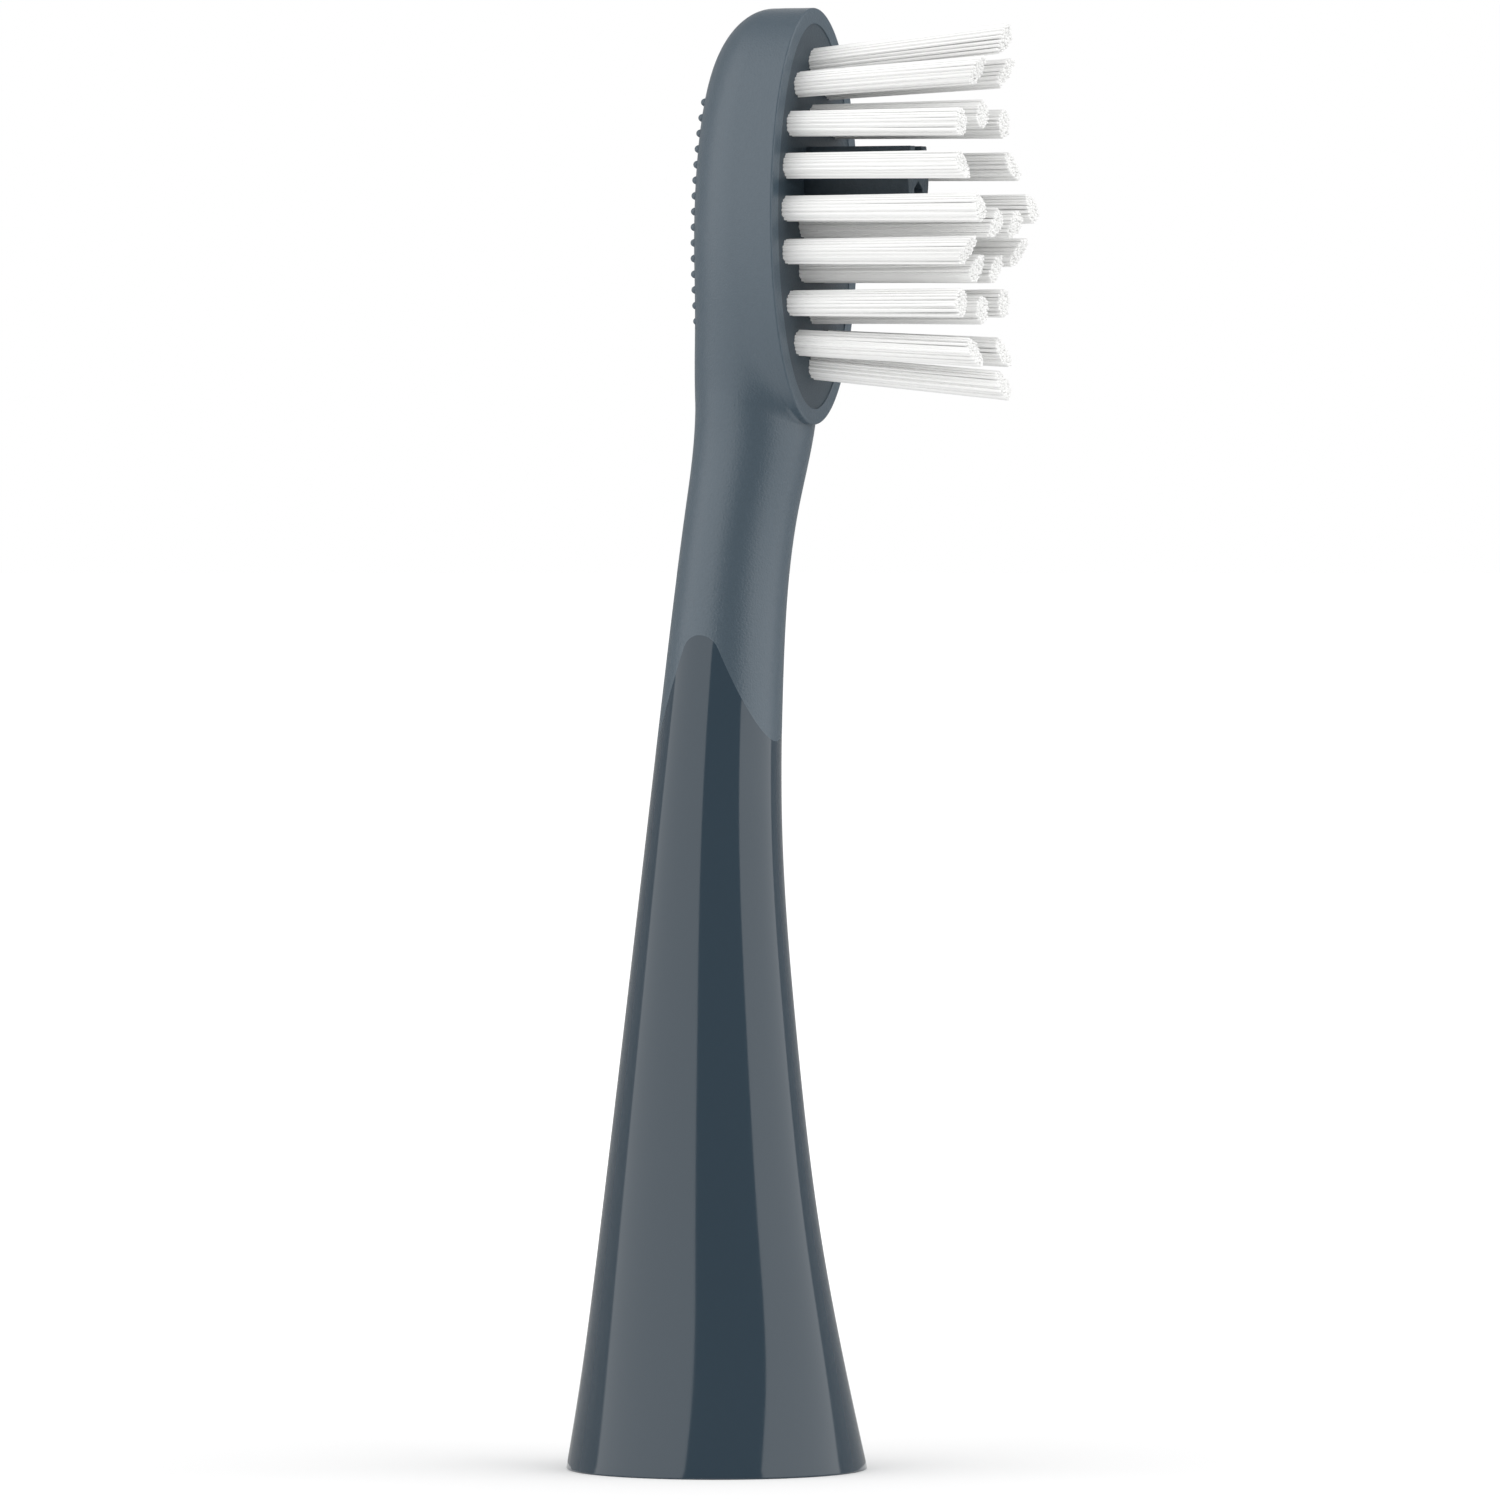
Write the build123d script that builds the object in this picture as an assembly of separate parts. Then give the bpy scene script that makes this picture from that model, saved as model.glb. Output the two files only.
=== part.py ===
"""Replacement head for a sonic toothbrush, in millimetres.

The origin is on the drive axis, in the plane of the standing rim. +Z runs up the
shaft axis and the bristles point to -Y. The head is symmetric about X = 0.
"""

from build123d import *
from math import cos, pi, radians, sin
import os

os.makedirs("parts", exist_ok=True)

# Stem: height of each section, its size and how far its centre is set back. The base and
# the neck are round, and the body between them is narrower from side to side.
# From the barrel up, a section's rise is its share of the way to the throat, and the
# throat hangs a fixed drop below the head's centre.
base_radius = 8.0
skirt_height = 4.2
skirt_half_width = 6.63
skirt_half_depth = 7.33
skirt_setback = 0.13
flare_height = 12.7
flare_half_width = 5.06
flare_half_depth = 6.02
flare_setback = 0.4
barrel_height = 23.3
barrel_half_width = 4.05
barrel_half_depth = 4.71
barrel_setback = 0.4
shank_rise = 0.333
shank_half_width = 3.39
shank_half_depth = 3.65
shank_setback = 0.13
waist_rise = 0.6
waist_radius = 3.14
waist_setback = -0.46
neck_rise = 0.868
neck_radius = 3.0
neck_setback = -1.49
throat_drop = 11.3
throat_radius = 3.18
throat_setback = -2.23
rim_edge = 0.1

# Root of the neck inside the head: two flattened sections that fade into its back.
root_drop = 8.2
root_half_width = 3.6
root_half_depth = 3.15
root_setback = -2.42
fade_drop = 3.4
fade_half_width = 3.6
fade_half_depth = 2.45
fade_setback = -2.48

# Head: an oval puck with a flat face and a rounded back.
head_centre_height = 66.4
head_half_width = 5.3
head_half_length = 11.0
head_face_y = -5.8
head_wall_depth = 2.35
head_back_depth = 3.5
head_back_side_inset = 3.5
head_back_top_inset = 5.3
head_back_bottom_inset = 0.2
head_face_edge = 0.2

# Soft sleeve over the neck and the head.
rim_width = 0.85
rim_step = 0.06
plate_thickness = 3.6
plate_back_edge = 0.8
wave_apex_drop = 20.63
wave_slope = 2.2
wave_apex_radius = 1.03
wave_centre_y = -0.35

# Hard core inside the sleeve: a leaning pin that runs up the neck into the plate.
pin_radius = 2.25
pin_foot_drop = 9.77
pin_foot_setback = 0.2
pin_top_drop = 6.9
pin_top_setback = -2.54

# Tufts.
ring_side_count = 8
ring_low_count = 3
ring_wide_gap = 0.5
ring_half_width = 3.3
ring_half_length = 8.05
tuft_field_lift = 0.1
tuft_radius = 0.74
tuft_low_length = 9.78
trim_crest_rise = 1.45
trim_crest_pitch = 9.6
fan_start = 5.0
fan_degrees_per_mm = 1.5
inner_end_offset = 5.1
inner_pair_x = 1.2
inner_upper_pair_z = -0.5
inner_lower_pair_z = -2.85
tuft_hole_depth = 2.8
tuft_clearance = 0.02

# Metal anchor across the fold of each tuft.
anchor_thickness = 0.25
anchor_height = 1.5
anchor_bite = 0.2
anchor_clearance = 0.01
fold_thickness = 0.4

# Rubber polishing fins: two bowed walls joined by a web.
fin_centre_z = 2.05
fin_half_length = 1.6
fin_thickness = 0.42
fin_waist_x = 0.72
fin_bow = 0.25
fin_web_neck = 0.3
fin_web_root = 1.1
fin_height = 6.1
fin_pocket_depth = 2.0
fin_clearance = 0.02
fin_tip_edge = 0.1

# Drive socket pressed into the skirt.
skirt_wall = 1.3
recess_depth = 5.0
flange_radius = 5.2
flange_thickness = 1.2
flange_clearance = 0.15
insert_foot_radius = 4.1
insert_tip_radius = 3.3
insert_length = 17.0
insert_clearance = 0.02
insert_end_gap = 0.3
pilot_radius = 2.35
pilot_length = 4.0
pilot_lead_in = 0.3
drive_radius = 2.0
drive_flat = 1.4

# Leaf spring that presses on the flat of the shaft.
spring_thickness = 0.3
spring_width = 2.4
spring_bow = 1.0
spring_pocket_y = 2.6
spring_pocket_floor = 3.2
spring_side_gap = 0.1

# Values that follow from the sizes above.
plate_y = head_face_y + rim_step
throat_height = head_centre_height - throat_drop
wave_apex_height = head_centre_height - wave_apex_drop
hole_radius = tuft_radius + tuft_clearance
seat_height = recess_depth + flange_thickness
insert_top = recess_depth + insert_length
above_everything = 2 * (head_centre_height + head_half_length)
beyond_sides = 4 * base_radius
standing = (Align.CENTER, Align.CENTER, Align.MIN)


def stem_form():
    """The stem, lofted through its round and oval sections."""
    climb = throat_height - barrel_height
    sections = [
        (0, base_radius, base_radius, 0),
        (skirt_height, skirt_half_width, skirt_half_depth, skirt_setback),
        (flare_height, flare_half_width, flare_half_depth, flare_setback),
        (barrel_height, barrel_half_width, barrel_half_depth, barrel_setback),
        (barrel_height + shank_rise * climb, shank_half_width, shank_half_depth, shank_setback),
        (barrel_height + waist_rise * climb, waist_radius, waist_radius, waist_setback),
        (barrel_height + neck_rise * climb, neck_radius, neck_radius, neck_setback),
        (throat_height, throat_radius, throat_radius, throat_setback),
        (head_centre_height - root_drop, root_half_width, root_half_depth, root_setback),
        (head_centre_height - fade_drop, fade_half_width, fade_half_depth, fade_setback),
    ]
    faces = []
    for height, half_width, half_depth, back in sections:
        oval = EllipticalCenterArc((0, 0), half_width, half_depth, arc_size=360)
        faces.append(Plane((0, back, height)) * make_face(oval))
    return loft(faces)


def head_form():
    """The oval head: straight walls behind a flat face, then sections that close to a flat back."""
    wall_end_y = head_face_y + head_wall_depth
    top = head_centre_height + head_half_length
    bottom = head_centre_height - head_half_length
    turns = [0, 20, 40, 60, 76, 90]
    stations = [(head_face_y, 0)]
    stations += [(wall_end_y + head_back_depth * sin(radians(turn)), turn) for turn in turns]
    faces = []
    for y, turn in stations:
        closing = 1 - cos(radians(turn))
        high = top - head_back_top_inset * closing
        low = bottom + head_back_bottom_inset * closing
        oval = Ellipse(head_half_width - head_back_side_inset * closing, (high - low) / 2)
        faces.append(Plane((0, y, (high + low) / 2), (1, 0, 0), (0, 1, 0)) * oval)
    head = loft(faces)
    return chamfer(head.edges().sort_by(Axis.Y)[0], head_face_edge)


def plate_frame(x, z, lean=0.0):
    """A frame on the bristle plate: local z points out of the face, local y up the head."""
    outward = Vector(0, -1, 0).rotate(Axis.X, -lean)
    return Plane((x, plate_y, head_centre_height + z), (1, 0, 0), outward)


def plate_oval(depth, lift=0.0):
    """The oval inside the rim, from a lift above the plate's face down to a depth below it."""
    half_width = head_half_width - rim_width
    half_length = head_half_length - rim_width
    oval = Pos(0, 0, lift) * Ellipse(half_width, half_length)
    return plate_frame(0, 0) * extrude(oval, -(depth + lift))


def core_form():
    """The hard core inside the sleeve: the neck's pin and the bristle plate."""
    foot = Vector(0, pin_foot_setback, wave_apex_height - pin_foot_drop)
    rise = Vector(0, pin_top_setback, head_centre_height - pin_top_drop) - foot
    pin = Plane(foot, (1, 0, 0), rise) * Cylinder(pin_radius, rise.length, align=standing)
    plate = plate_oval(plate_thickness)
    return pin + chamfer(plate.edges().sort_by(Axis.Y)[-1], plate_back_edge)


def sleeve_region():
    """Everything above the sleeve's wave-shaped lower edge, as a bar along X."""
    foot = wave_apex_height - wave_slope * beyond_sides
    line = Polyline(
        (wave_centre_y, wave_apex_height),
        (wave_centre_y + beyond_sides, foot),
        (wave_centre_y + beyond_sides, above_everything),
        (wave_centre_y - beyond_sides, above_everything),
        (wave_centre_y - beyond_sides, foot),
        close=True,
    )
    area = make_face(line)
    apex = area.vertices().sort_by_distance((wave_centre_y, wave_apex_height))[0]
    return extrude(Plane.YZ * fillet(apex, wave_apex_radius), beyond_sides, both=True)


def ring_places():
    """Places round an oval: even gaps up each side, but for one wider gap above the low tufts."""
    half = EllipticalCenterArc(
        (0, 0), ring_half_width, ring_half_length, start_angle=-90, arc_size=180
    )
    step = (half.length - ring_wide_gap) / ring_side_count
    ways = [i * step + ring_wide_gap * (i >= ring_low_count) for i in range(ring_side_count + 1)]
    right = [half.position_at(way, PositionMode.LENGTH) for way in ways]
    return right + [Vector(-p.X, p.Y) for p in right[-2:0:-1]]


def tuft_places():
    """Name, place on the plate and lean of each tuft."""
    named = [
        (f"tuft_ring_{i + 1:02d}", p.X, p.Y + tuft_field_lift)
        for i, p in enumerate(ring_places())
    ]
    named += [
        ("tuft_inner_top", 0, tuft_field_lift + inner_end_offset),
        ("tuft_inner_upper_left", -inner_pair_x, inner_upper_pair_z),
        ("tuft_inner_upper_right", inner_pair_x, inner_upper_pair_z),
        ("tuft_inner_lower_left", -inner_pair_x, inner_lower_pair_z),
        ("tuft_inner_lower_right", inner_pair_x, inner_lower_pair_z),
        ("tuft_inner_bottom", 0, tuft_field_lift - inner_end_offset),
    ]
    placed = []
    for name, x, z in named:
        beyond = max(0.0, abs(z) - fan_start)
        lean = fan_degrees_per_mm * (beyond if z > 0 else -beyond)
        placed.append((name, plate_frame(x, z, lean)))
    return placed


def trim_plane(frame):
    """The plane that touches the trimmed brush surface, narrow crests over wide dips, at a tuft's tip."""
    z = frame.origin.Z - head_centre_height + frame.z_dir.Z * tuft_low_length
    turn = pi * z / trim_crest_pitch
    y = head_face_y - tuft_low_length - trim_crest_rise * cos(turn) ** 4
    slope = 4 * trim_crest_rise * cos(turn) ** 3 * sin(turn) * pi / trim_crest_pitch
    return Plane((0, y, head_centre_height + z), (1, 0, 0), (0, -1, slope))


def anchor_plate(clearance=0.0):
    """The flat metal anchor, in a tuft's own frame, grown by a clearance."""
    block = Box(
        2 * (hole_radius + anchor_bite + clearance),
        anchor_thickness + 2 * clearance,
        anchor_height + 2 * clearance,
    )
    return Pos(0, 0, fold_thickness - tuft_hole_depth + anchor_height / 2) * block


def tuft(frame):
    """A tuft in its place: its fold in the hole, its anchor's slot and its trimmed tip."""
    reach = tuft_hole_depth + tuft_low_length + 2 * trim_crest_rise
    bundle = Pos(0, 0, -tuft_hole_depth) * Cylinder(tuft_radius, reach, align=standing)
    placed = frame * (bundle - anchor_plate(anchor_clearance))
    return split(placed, trim_plane(frame), keep=Keep.BOTTOM)


def tuft_hole():
    """The blind hole and the anchor's bite, in a tuft's own frame."""
    mouth = hole_radius
    depth = tuft_hole_depth + mouth
    hole = Pos(0, 0, mouth - depth / 2) * Cylinder(hole_radius, depth)
    return hole + anchor_plate(anchor_clearance)


def fin_section(clearance=0.0):
    """Two bowed walls back to back with a web that narrows in the middle."""
    half_length = fin_half_length + clearance
    end_x = fin_waist_x + fin_bow
    section = Sketch()
    for side in (-1, 1):
        wall = ThreePointArc(
            (side * end_x, -half_length), (side * fin_waist_x, 0), (side * end_x, half_length)
        )
        section += trace(wall, fin_thickness + 2 * clearance)
    root = fin_web_root / 2 + clearance
    neck = fin_web_neck / 2 + clearance
    corners = [(-fin_waist_x, -root), (0, -neck), (fin_waist_x, -root)]
    corners += [(fin_waist_x, root), (0, neck), (-fin_waist_x, root)]
    return section + make_face(Polyline(*corners, close=True))


def polishing_fins():
    """The fins in their own frame: a root in the plate's pocket and bevelled tips."""
    section = Pos(0, 0, -fin_pocket_depth) * fin_section()
    block = extrude(section, fin_pocket_depth + fin_height)
    return chamfer(block.faces().sort_by(Axis.Z)[-1].edges(), fin_tip_edge)


def socket_cavity():
    """The hollow of the skirt: an open recess, then a tapered bore for the drive socket."""
    foot = insert_foot_radius + insert_clearance
    tip = insert_tip_radius + insert_clearance
    profile = Polyline(
        (0, 0),
        (base_radius - skirt_wall, 0),
        (flange_radius + flange_clearance, seat_height),
        (foot, seat_height),
        (tip, insert_top),
        (tip, insert_top + insert_end_gap),
        (0, insert_top + insert_end_gap),
        close=True,
    )
    return revolve(Plane.XZ * make_face(profile), Axis.Z)


def drive_socket():
    """The flanged insert with a round pilot bore, a D-shaped drive bore and a spring slot."""
    profile = Polyline(
        (0, recess_depth),
        (flange_radius, recess_depth),
        (flange_radius, seat_height),
        (insert_foot_radius, seat_height),
        (insert_tip_radius, insert_top),
        (0, insert_top),
        close=True,
    )
    plug = revolve(Plane.XZ * make_face(profile), Axis.Z)
    pilot_top = recess_depth + pilot_length
    lead = Pos(0, 0, recess_depth) * Cone(
        pilot_radius + pilot_lead_in, pilot_radius, pilot_lead_in, align=standing
    )
    pilot = Pos(0, 0, recess_depth) * Cylinder(pilot_radius, pilot_length, align=standing)
    drive = Pos(0, 0, pilot_top) * Cylinder(drive_radius, insert_length, align=standing)
    beyond_flat = Pos(0, drive_flat, 0) * Box(
        beyond_sides, beyond_sides, above_everything, align=(Align.CENTER, Align.MIN, Align.CENTER)
    )
    slot = Pos(0, 0, pilot_top + spring_pocket_floor) * Box(
        spring_width + 2 * spring_side_gap,
        spring_pocket_y,
        insert_length,
        align=(Align.CENTER, Align.MIN, Align.MIN),
    )
    return plug - [lead, pilot, drive - beyond_flat, slot]


def retaining_spring():
    """A bowed leaf whose middle stands past the flat of the drive bore."""
    end_y = spring_pocket_y - spring_thickness / 2
    foot = recess_depth + pilot_length + spring_pocket_floor + spring_side_gap
    top = insert_top - spring_side_gap
    bow = ThreePointArc((end_y, foot), (end_y - spring_bow, (foot + top) / 2), (end_y, top))
    leaf = Plane.YZ * trace(bow, spring_thickness)
    return extrude(leaf, spring_width / 2, both=True)


def write(node, shape):
    """One STEP file for one node."""
    export_step(shape, f"parts/{node}.step")


stem = stem_form()
stem = chamfer(stem.edges().sort_by(Axis.Z)[0], rim_edge)
outer = stem + head_form()
front_recess = plate_oval(0, 2 * rim_step)
soft = (outer & sleeve_region()) - core_form() - front_recess
places = tuft_places()
fin_place = plate_frame(0, fin_centre_z)
fin_pocket = fin_place * extrude(fin_section(fin_clearance), -fin_pocket_depth)
holes = [frame * tuft_hole() for _, frame in places]
hard = outer - soft - front_recess - [socket_cavity(), fin_pocket, *holes]

write("brush_body", hard)
write("soft_sleeve", soft)
write("polishing_fins", fin_place * polishing_fins())
write("drive_socket", drive_socket())
write("retaining_spring", retaining_spring())
write("tuft_anchors", Compound([frame * anchor_plate() for _, frame in places]))
for name, frame in places:
    write(name, tuft(frame))
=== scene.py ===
"""Looks of a sonic toothbrush head: its skins, filaments and finishes, in a plain studio.

Sizes are in millimetres and turn to metres only where a mesh is made. The origin is on the
drive axis at the standing rim, +Z runs up the shaft, and the bristles point to -Y.
"""

import logging
from collections.abc import Callable
from dataclasses import dataclass, field
from enum import Enum

import bmesh
import bpy
import numpy as np
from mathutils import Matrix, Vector


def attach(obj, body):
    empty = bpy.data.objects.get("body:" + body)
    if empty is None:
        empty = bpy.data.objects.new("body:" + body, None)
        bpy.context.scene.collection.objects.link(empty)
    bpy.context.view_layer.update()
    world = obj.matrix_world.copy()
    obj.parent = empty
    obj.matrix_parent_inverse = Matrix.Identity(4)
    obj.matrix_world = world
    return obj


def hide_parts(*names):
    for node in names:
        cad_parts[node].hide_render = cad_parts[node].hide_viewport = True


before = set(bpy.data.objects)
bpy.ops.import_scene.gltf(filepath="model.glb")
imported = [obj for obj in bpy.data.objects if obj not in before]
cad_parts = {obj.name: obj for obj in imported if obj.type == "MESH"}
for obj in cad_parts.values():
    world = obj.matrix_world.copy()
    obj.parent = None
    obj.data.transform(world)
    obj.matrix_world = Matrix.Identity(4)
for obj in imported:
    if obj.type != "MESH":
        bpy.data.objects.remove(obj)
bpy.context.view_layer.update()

Array = np.ndarray
MM = 0.001
# Points of one piece that lie nearer than this, in millimetres, become one.
WELD_DISTANCE = 0.0005
# Faces that meet at more than this angle keep a hard edge.
SHARP_DEGREES = 40
# Steps of the two searches, enough to end far below a micrometre.
HALVINGS = 36
SUBSTITUTIONS = 30
# Keeps divisions away from zero.
TINY = 1e-6
log = logging.getLogger("toothbrush_head")


class Side(Enum):
    """The two mirrored halves of a piece, by the sign of X."""

    LEFT = -1
    RIGHT = 1


class Slot(Enum):
    """Names of material slots, which no piece in this script takes."""

    SHELL = "gloss_shell"
    SLEEVE = "soft_overmould"
    FINS = "fin_rubber"
    NYLON = "bristle_nylon"


def linear(hex_code: str) -> tuple[float, float, float, float]:
    """Turn an sRGB hex colour into linear red, green, blue and alpha.

    Args:
        hex_code: Colour as "#rrggbb".

    Returns:
        Linear components with an alpha of one.
    """
    srgb = np.array([int(hex_code[i : i + 2], 16) for i in (1, 3, 5)]) / 255
    rgb = np.where(srgb <= 0.04045, srgb / 12.92, ((srgb + 0.055) / 1.055) ** 2.4)
    return (*rgb.tolist(), 1.0)


def add_node(
    tree: bpy.types.NodeTree,
    kind: str,
    links: dict | None = None,
    values: dict | None = None,
    **settings: object,
) -> bpy.types.Node:
    """Add a shader node with its settings, its socket values and its links.

    Args:
        tree: Node tree that receives the node.
        kind: Blender's type name of the node.
        links: Output sockets by the name or number of the input they feed.
        values: Constants by the name or number of the input.
        **settings: Properties of the node itself.

    Returns:
        The new node.
    """
    node = tree.nodes.new(kind)
    for key, value in settings.items():
        setattr(node, key, value)
    for key, value in (values or {}).items():
        node.inputs[key].default_value = value
    for key, source in (links or {}).items():
        tree.links.new(source, node.inputs[key])
    return node


def spline_through(knots: Array, values: Array, at: Array) -> Array:
    """Evaluate the natural cubic spline through some points.

    The second derivatives at the knots solve one tridiagonal system, with zeros at both ends,
    and each span is the cubic that has its end values and end second derivatives.

    Args:
        knots: Rising places of the points.
        values: Values at the knots.
        at: Places to evaluate, of any shape.

    Returns:
        Spline values in the shape of the places.
    """
    span = np.diff(knots)
    inner = np.arange(1, len(knots) - 1)
    system = np.eye(len(knots))
    system[inner, inner - 1] = span[:-1]
    system[inner, inner] = 2 * (span[:-1] + span[1:])
    system[inner, inner + 1] = span[1:]
    pull = np.zeros(len(knots))
    pull[inner] = 6 * np.diff(np.diff(values) / span)
    bend = np.linalg.solve(system, pull)
    low = np.clip(np.searchsorted(knots, at) - 1, 0, len(knots) - 2)
    after = (at - knots[low]) / span[low]
    before = 1 - after
    curve = (before**3 - before) * bend[low] + (after**3 - after) * bend[low + 1]
    return before * values[low] + after * values[low + 1] + span[low] ** 2 / 6 * curve


def smooth_step(x: Array, start: float, end: float) -> Array:
    """Rise from 0 at the start to 1 at the end as 3t squared less 2t cubed."""
    t = np.clip((x - start) / (end - start), 0, 1)
    return t * t * (3 - 2 * t)


def quarter_round(radius: float, points: int = 6) -> tuple[Array, Array]:
    """Walk a quarter round between the two faces of a corner.

    With t from 0 to 90 degrees, the distances are r (1 - cos t) and r (1 - sin t).

    Args:
        radius: Radius of the round.
        points: Points along it.

    Returns:
        Distances from the face where it starts, and from the face where it ends.
    """
    t = np.linspace(0, np.pi / 2, points)
    return radius * (1 - np.cos(t)), radius * (1 - np.sin(t))


def last_inside(inside: Callable[[Array], Array], low: Array, high: Array) -> Array:
    """Find the last places at which a test holds, by halving.

    Args:
        inside: Test that holds at the low places and fails at the high ones.
        low: Places where the search starts.
        high: Places where it ends.

    Returns:
        Places where it still holds, in the shape of the low ones.
    """
    for _ in range(HALVINGS):
        middle = (low + high) / 2
        holds = inside(middle)
        low = np.where(holds, middle, low)
        high = np.where(holds, high, middle)
    return low


@dataclass
class Surface:
    """Points in millimetres with the faces that join them."""

    points: Array
    faces: Array

    @classmethod
    def grid(cls, points: Array) -> "Surface":
        """Join grids of points into quads, facing the way that rows cross columns.

        Args:
            points: Points as (..., rows, columns, 3), where each leading index is one grid.

        Returns:
            The quads of all grids in one surface.
        """
        *copies, rows, columns, _ = points.shape
        index = np.arange(np.prod(copies, dtype=int) * rows * columns).reshape(-1, rows, columns)
        corners = (index[:, :-1, :-1], index[:, 1:, :-1], index[:, 1:, 1:], index[:, :-1, 1:])
        return cls(points.reshape(-1, 3), np.stack(corners, axis=-1).reshape(-1, 4))


@dataclass(frozen=True)
class Finish:
    """A finish with one base colour, to which each kind of material adds its detail."""

    name: str
    colour: str
    roughness: float
    ior: float = 1.5
    metallic: float = 0.0

    def material(self) -> bpy.types.Material:
        """Make the material, or find it if another piece already has it.

        Returns:
            The finished material.
        """
        known = bpy.data.materials.get(self.name)
        if known:
            return known
        material = bpy.data.materials.new(self.name)
        material.use_nodes = True
        tree = material.node_tree
        tree.nodes.clear()
        shader = add_node(
            tree,
            "ShaderNodeBsdfPrincipled",
            values={
                "Base Color": linear(self.colour),
                "Roughness": self.roughness,
                "IOR": self.ior,
                "Metallic": self.metallic,
            },
        )
        add_node(tree, "ShaderNodeOutputMaterial", links={"Surface": shader.outputs["BSDF"]})
        self.detail(tree, shader)
        return material

    def detail(self, tree: bpy.types.NodeTree, shader: bpy.types.Node) -> None:
        """Add the patterns of this kind of material; a plain finish has none."""

    def noise(
        self, tree: bpy.types.NodeTree, size: float, depth: float = 2.0
    ) -> bpy.types.NodeSocket:
        """Add a noise on Object coordinates whose lumps have a real size.

        Args:
            tree: Node tree that receives the noise.
            size: Width of a lump in millimetres.
            depth: Octaves of finer noise.

        Returns:
            The noise's value socket.
        """
        place = add_node(tree, "ShaderNodeTexCoord")
        noise = add_node(
            tree,
            "ShaderNodeTexNoise",
            links={"Vector": place.outputs["Object"]},
            values={"Scale": 1 / (size * MM), "Detail": depth},
        )
        return noise.outputs["Fac"]

    def blend(
        self,
        tree: bpy.types.NodeTree,
        shader: bpy.types.Node,
        by: bpy.types.NodeSocket,
        other: str,
    ) -> None:
        """Vary the base colour towards another one.

        Args:
            tree: Node tree of the material.
            shader: Principled shader that takes the colour.
            by: Socket that says how much of the other colour shows.
            other: The other colour as sRGB hex.
        """
        mix = add_node(
            tree,
            "ShaderNodeMix",
            links={0: by},
            values={6: linear(self.colour), 7: linear(other)},
            data_type="RGBA",
        )
        tree.links.new(mix.outputs[2], shader.inputs["Base Color"])

    def emboss(
        self,
        tree: bpy.types.NodeTree,
        shader: bpy.types.Node,
        by: bpy.types.NodeSocket,
        height: float,
    ) -> None:
        """Raise a pattern as bump.

        Args:
            tree: Node tree of the material.
            shader: Principled shader that takes the normal.
            by: Socket with the pattern's height from 0 to 1.
            height: Real height of the pattern in millimetres.
        """
        bump = add_node(
            tree,
            "ShaderNodeBump",
            links={"Height": by},
            values={"Distance": height * MM, "Strength": 1.0},
        )
        tree.links.new(bump.outputs["Normal"], shader.inputs["Normal"])


@dataclass(frozen=True)
class PolishedPolypropylene(Finish):
    """Polypropylene from a polished mould, with slight waves and a faint haze in its gloss."""

    wave_size: float = 5.0
    wave_height: float = 0.0012
    haze_size: float = 1.4
    haze_low: float = 0.3
    haze_high: float = 0.7
    haze_gain: float = 1.4

    def detail(self, tree: bpy.types.NodeTree, shader: bpy.types.Node) -> None:
        """Add the sink waves of a thick moulding and a faint haze in the gloss.

        Args:
            tree: Node tree of the material.
            shader: Principled shader that takes the normal and the roughness.
        """
        waves = self.noise(tree, self.wave_size, depth=0.0)
        self.emboss(tree, shader, waves, self.wave_height)
        haze = add_node(
            tree,
            "ShaderNodeMapRange",
            links={"Value": self.noise(tree, self.haze_size)},
            values={
                "From Min": self.haze_low,
                "From Max": self.haze_high,
                "To Min": self.roughness,
                "To Max": self.roughness * self.haze_gain,
            },
        )
        tree.links.new(haze.outputs["Result"], shader.inputs["Roughness"])


@dataclass(frozen=True)
class GrainedMoulding(Finish):
    """Elastomer or plastic from a spark-eroded mould, with a fine sandy grain and a mottle."""

    grain_size: float = 0.11
    grain_height: float = 0.022
    pale: str = "#43525d"
    mottle_size: float = 0.25

    def detail(self, tree: bpy.types.NodeTree, shader: bpy.types.Node) -> None:
        """Add the eroded grain and the mottle.

        Args:
            tree: Node tree of the material.
            shader: Principled shader that takes the normal and the colour.
        """
        # The real grain is too fine to show, so it is drawn about twice its size.
        grain = self.noise(tree, self.grain_size, depth=3.0)
        self.emboss(tree, shader, grain, self.grain_height)
        self.blend(tree, shader, self.noise(tree, self.mottle_size), self.pale)


@dataclass(frozen=True)
class DrawnNylon(Finish):
    """Nylon filament, drawn and cut, each filament in a slightly different white at random; the
    darker ones also paint the shade lines between the filaments.
    """

    # Darkest filament white: partly random tone, partly painted shade for the lines between
    # filaments.
    shaded: str = "#e8e8e7"

    def detail(self, tree: bpy.types.NodeTree, shader: bpy.types.Node) -> None:
        """Tint each filament by the attribute that its mesh carries, towards the darker white that
        paints the shade lines between filaments.
        """
        tint = add_node(tree, "ShaderNodeAttribute", attribute_name="tint")
        self.blend(tree, shader, tint.outputs["Fac"], self.shaded)


@dataclass(frozen=True)
class RolledStrip(Finish):
    """Metal strip as rolled, with faint scuffs in its satin."""

    scuff_size: float = 0.15
    scuff_spread: float = 0.3

    def detail(self, tree: bpy.types.NodeTree, shader: bpy.types.Node) -> None:
        """Add the scuffs to the gloss.

        Args:
            tree: Node tree of the material.
            shader: Principled shader that takes the roughness.
        """
        scuffs = add_node(
            tree,
            "ShaderNodeMapRange",
            links={"Value": self.noise(tree, self.scuff_size, depth=4.0)},
            values={
                "To Min": self.roughness * (1 - self.scuff_spread),
                "To Max": self.roughness * (1 + self.scuff_spread),
            },
        )
        tree.links.new(scuffs.outputs["Result"], shader.inputs["Roughness"])


# Polypropylene from a polished mould: deep slate, with mirror-like strips of light.
SHELL = PolishedPolypropylene("polished_polypropylene", "#303d47", 0.07, ior=1.47)
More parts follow.
